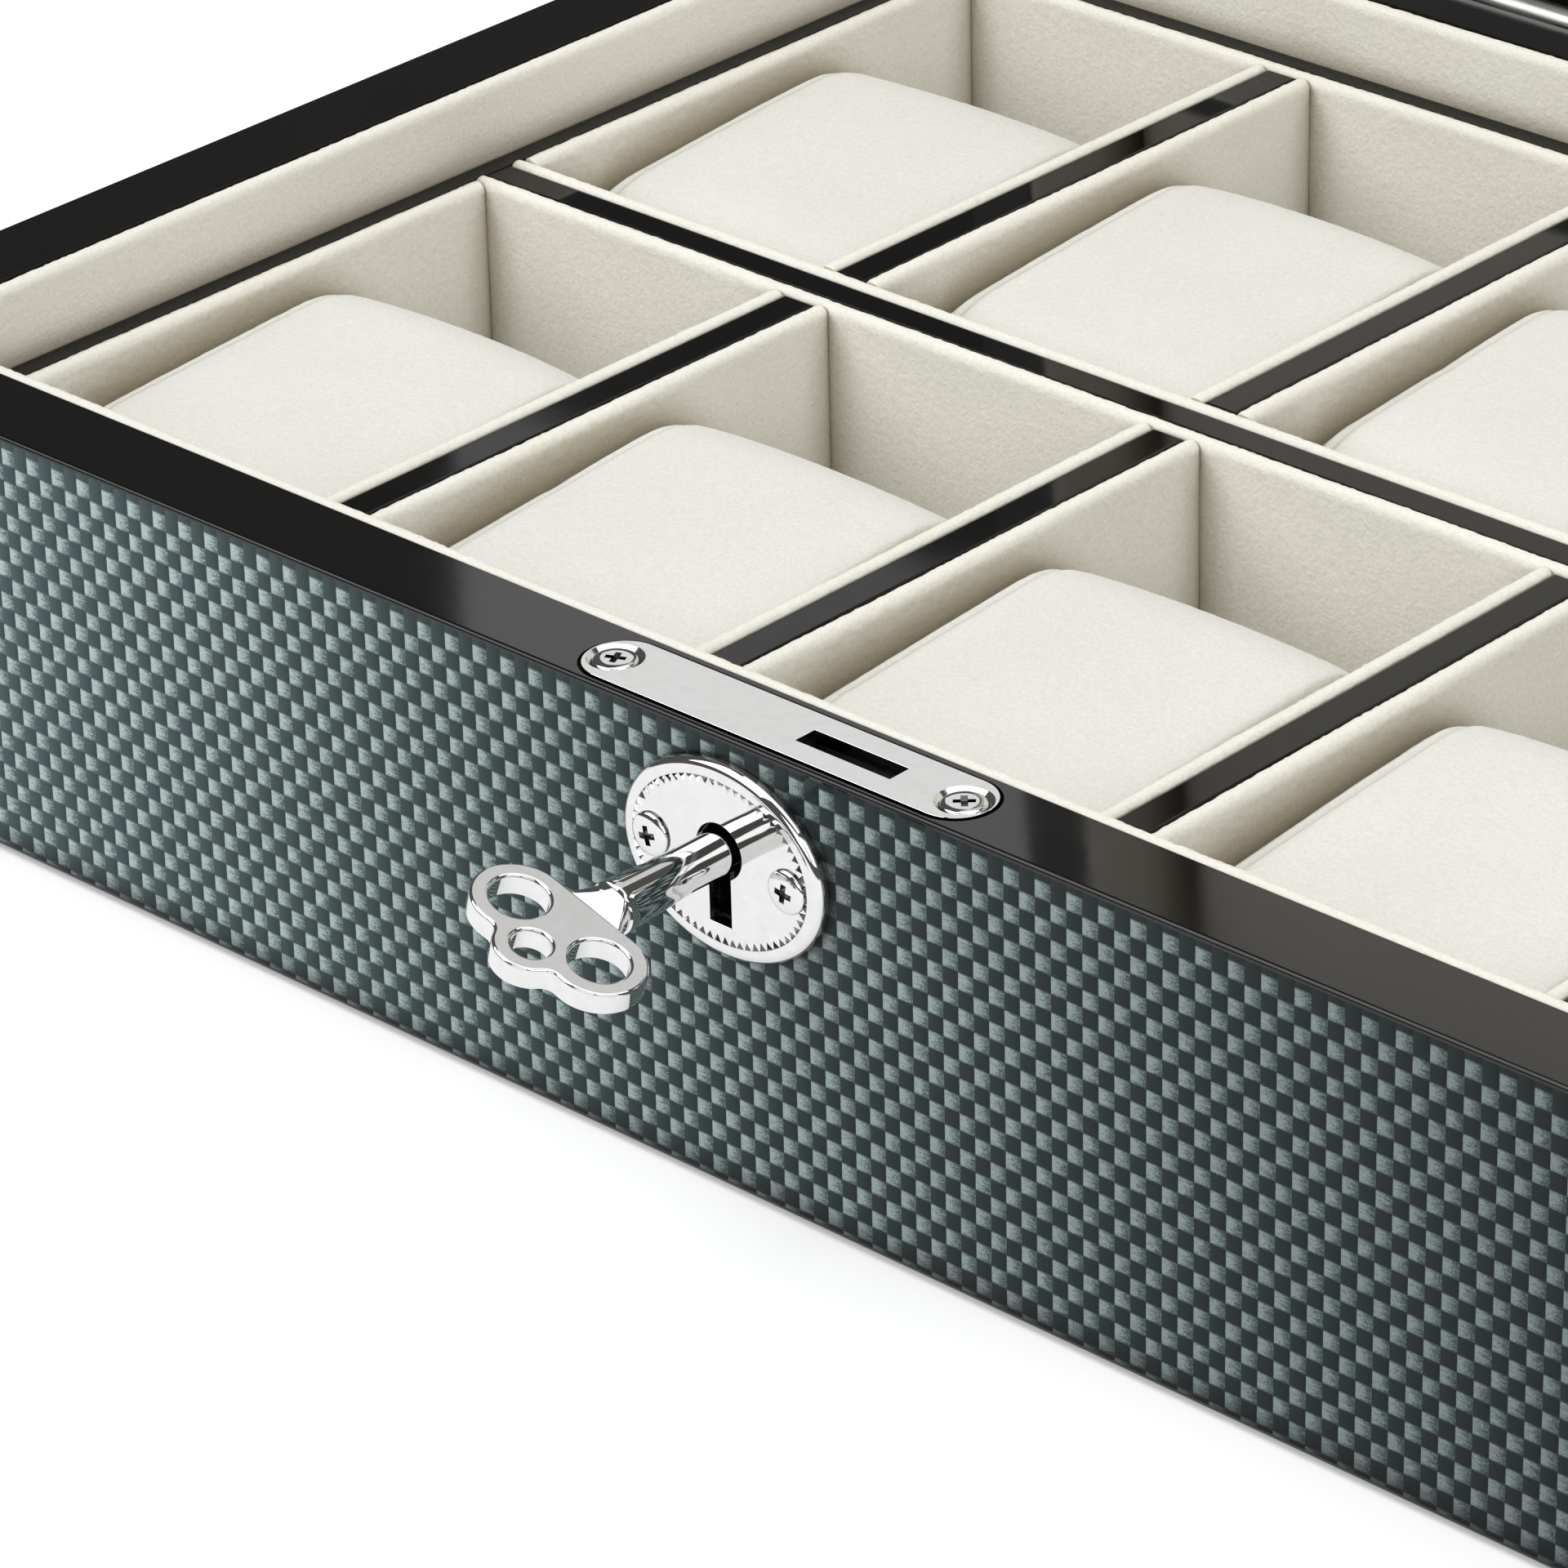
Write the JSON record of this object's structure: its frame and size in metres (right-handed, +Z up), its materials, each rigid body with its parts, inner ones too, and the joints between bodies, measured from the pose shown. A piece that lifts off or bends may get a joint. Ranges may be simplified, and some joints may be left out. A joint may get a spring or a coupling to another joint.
{
  "type": "watch box",
  "caption": "Rectangular lockable watch box standing open: woven-pattern lacquered case, black rim, velvet compartments with watch cushions, oval keyhole plate with key in the lock.",
  "frame": {"origin": "centre of the underside, on the surface that the box stands on", "axes": "+X along the front to the right, +Y from the lock side to the hinge side, +Z up"},
  "size_m": [0.305, 0.278, 0.2534],
  "materials": {
    "black_lacquer": "high gloss black lacquer",
    "woven_film": "grey-green woven pattern under clear gloss lacquer",
    "lining_velvet": "cream short-pile velvet",
    "cushion_velvet": "cream short-pile velvet over foam",
    "underside_felt": "black felt",
    "board": "plain fibre board",
    "polished_chrome": "polished chrome",
    "lock_steel": "zinc plated steel"
  },
  "bodies": {
    "base": {"base_bottom_panel": "board", "base_felt": "underside_felt", "base_skin_back": "woven_film", "base_skin_front": "woven_film", "base_skin_left": "woven_film", "base_skin_right": "woven_film", "base_wall_back": "black_lacquer", "base_wall_front": "black_lacquer", "base_wall_left": "black_lacquer", "base_wall_right": "black_lacquer", "escutcheon": "polished_chrome", "escutcheon_screws": "polished_chrome", "floor_card": "lining_velvet", "hinge_base_leaf": "polished_chrome", "hinge_pin": "polished_chrome", "lining_back": "lining_velvet", "lining_front": "lining_velvet", "lining_left": "lining_velvet", "lining_right": "lining_velvet", "lock_case": "lock_steel", "lock_plate": "polished_chrome", "lock_plate_screws": "polished_chrome", "tray_card_back": "lining_velvet", "tray_card_front": "lining_velvet", "tray_card_middle_back": "lining_velvet", "tray_card_middle_front": "lining_velvet", "tray_dividers_back": "black_lacquer", "tray_dividers_front": "black_lacquer", "tray_rail_back": "black_lacquer", "tray_rail_front": "black_lacquer", "tray_rail_left": "black_lacquer", "tray_rail_middle": "black_lacquer", "tray_rail_right": "black_lacquer", "tray_side_cards_back": "lining_velvet", "tray_side_cards_front": "lining_velvet"},
    "lid": {"hinge_lid_leaf": "polished_chrome", "lid_lining_cards": "lining_velvet", "lid_pad": "lining_velvet", "lid_panel": "board", "lid_skins": "woven_film", "lid_top_skin": "woven_film", "lid_wall_back": "black_lacquer", "lid_wall_front": "black_lacquer", "lid_wall_left": "black_lacquer", "lid_wall_right": "black_lacquer", "strike_plate": "polished_chrome", "strike_screws": "polished_chrome"},
    "key": {"key": "polished_chrome"},
    "bolt": {"lock_bolt": "lock_steel"},
    "cushion_back_1": {"cushion_back_1": "cushion_velvet"},
    "cushion_back_2": {"cushion_back_2": "cushion_velvet"},
    "cushion_back_3": {"cushion_back_3": "cushion_velvet"},
    "cushion_back_4": {"cushion_back_4": "cushion_velvet"},
    "cushion_back_5": {"cushion_back_5": "cushion_velvet"},
    "cushion_front_1": {"cushion_front_1": "cushion_velvet"},
    "cushion_front_2": {"cushion_front_2": "cushion_velvet"},
    "cushion_front_3": {"cushion_front_3": "cushion_velvet"},
    "cushion_front_4": {"cushion_front_4": "cushion_velvet"},
    "cushion_front_5": {"cushion_front_5": "cushion_velvet"}
  },
  "joints": [
    {"name": "lid_hinge", "type": "hinge", "parent": "base", "child": "lid", "pos_m": [0, 0.0995, 0.0532], "axis": [-1, 0, 0], "range_deg": [-95, 0]},
    {"name": "key_turn", "type": "hinge", "parent": "base", "child": "key", "pos_m": [-0.0032, -0.1015, 0.041], "axis": [0, -1, 0], "range_deg": [-73, 107]},
    {"name": "bolt_slide", "type": "slide", "parent": "base", "child": "bolt", "axis": [1, 0, 0], "range_m": [-0.00245, 0.0036]},
    {"name": "cushion_back_1_lift", "type": "slide", "parent": "base", "child": "cushion_back_1", "axis": [0, 0, 1], "range_m": [0, 0.06]},
    {"name": "cushion_back_2_lift", "type": "slide", "parent": "base", "child": "cushion_back_2", "axis": [0, 0, 1], "range_m": [0, 0.06]},
    {"name": "cushion_back_3_lift", "type": "slide", "parent": "base", "child": "cushion_back_3", "axis": [0, 0, 1], "range_m": [0, 0.06]},
    {"name": "cushion_back_4_lift", "type": "slide", "parent": "base", "child": "cushion_back_4", "axis": [0, 0, 1], "range_m": [0, 0.06]},
    {"name": "cushion_back_5_lift", "type": "slide", "parent": "base", "child": "cushion_back_5", "axis": [0, 0, 1], "range_m": [0, 0.06]},
    {"name": "cushion_front_1_lift", "type": "slide", "parent": "base", "child": "cushion_front_1", "axis": [0, 0, 1], "range_m": [0, 0.06]},
    {"name": "cushion_front_2_lift", "type": "slide", "parent": "base", "child": "cushion_front_2", "axis": [0, 0, 1], "range_m": [0, 0.06]},
    {"name": "cushion_front_3_lift", "type": "slide", "parent": "base", "child": "cushion_front_3", "axis": [0, 0, 1], "range_m": [0, 0.06]},
    {"name": "cushion_front_4_lift", "type": "slide", "parent": "base", "child": "cushion_front_4", "axis": [0, 0, 1], "range_m": [0, 0.06]},
    {"name": "cushion_front_5_lift", "type": "slide", "parent": "base", "child": "cushion_front_5", "axis": [0, 0, 1], "range_m": [0, 0.06]}
  ],
  "couplings": [
    {"joint": "bolt_slide", "follows": "key_turn", "m_per_rad": 0.0019099}
  ]
}
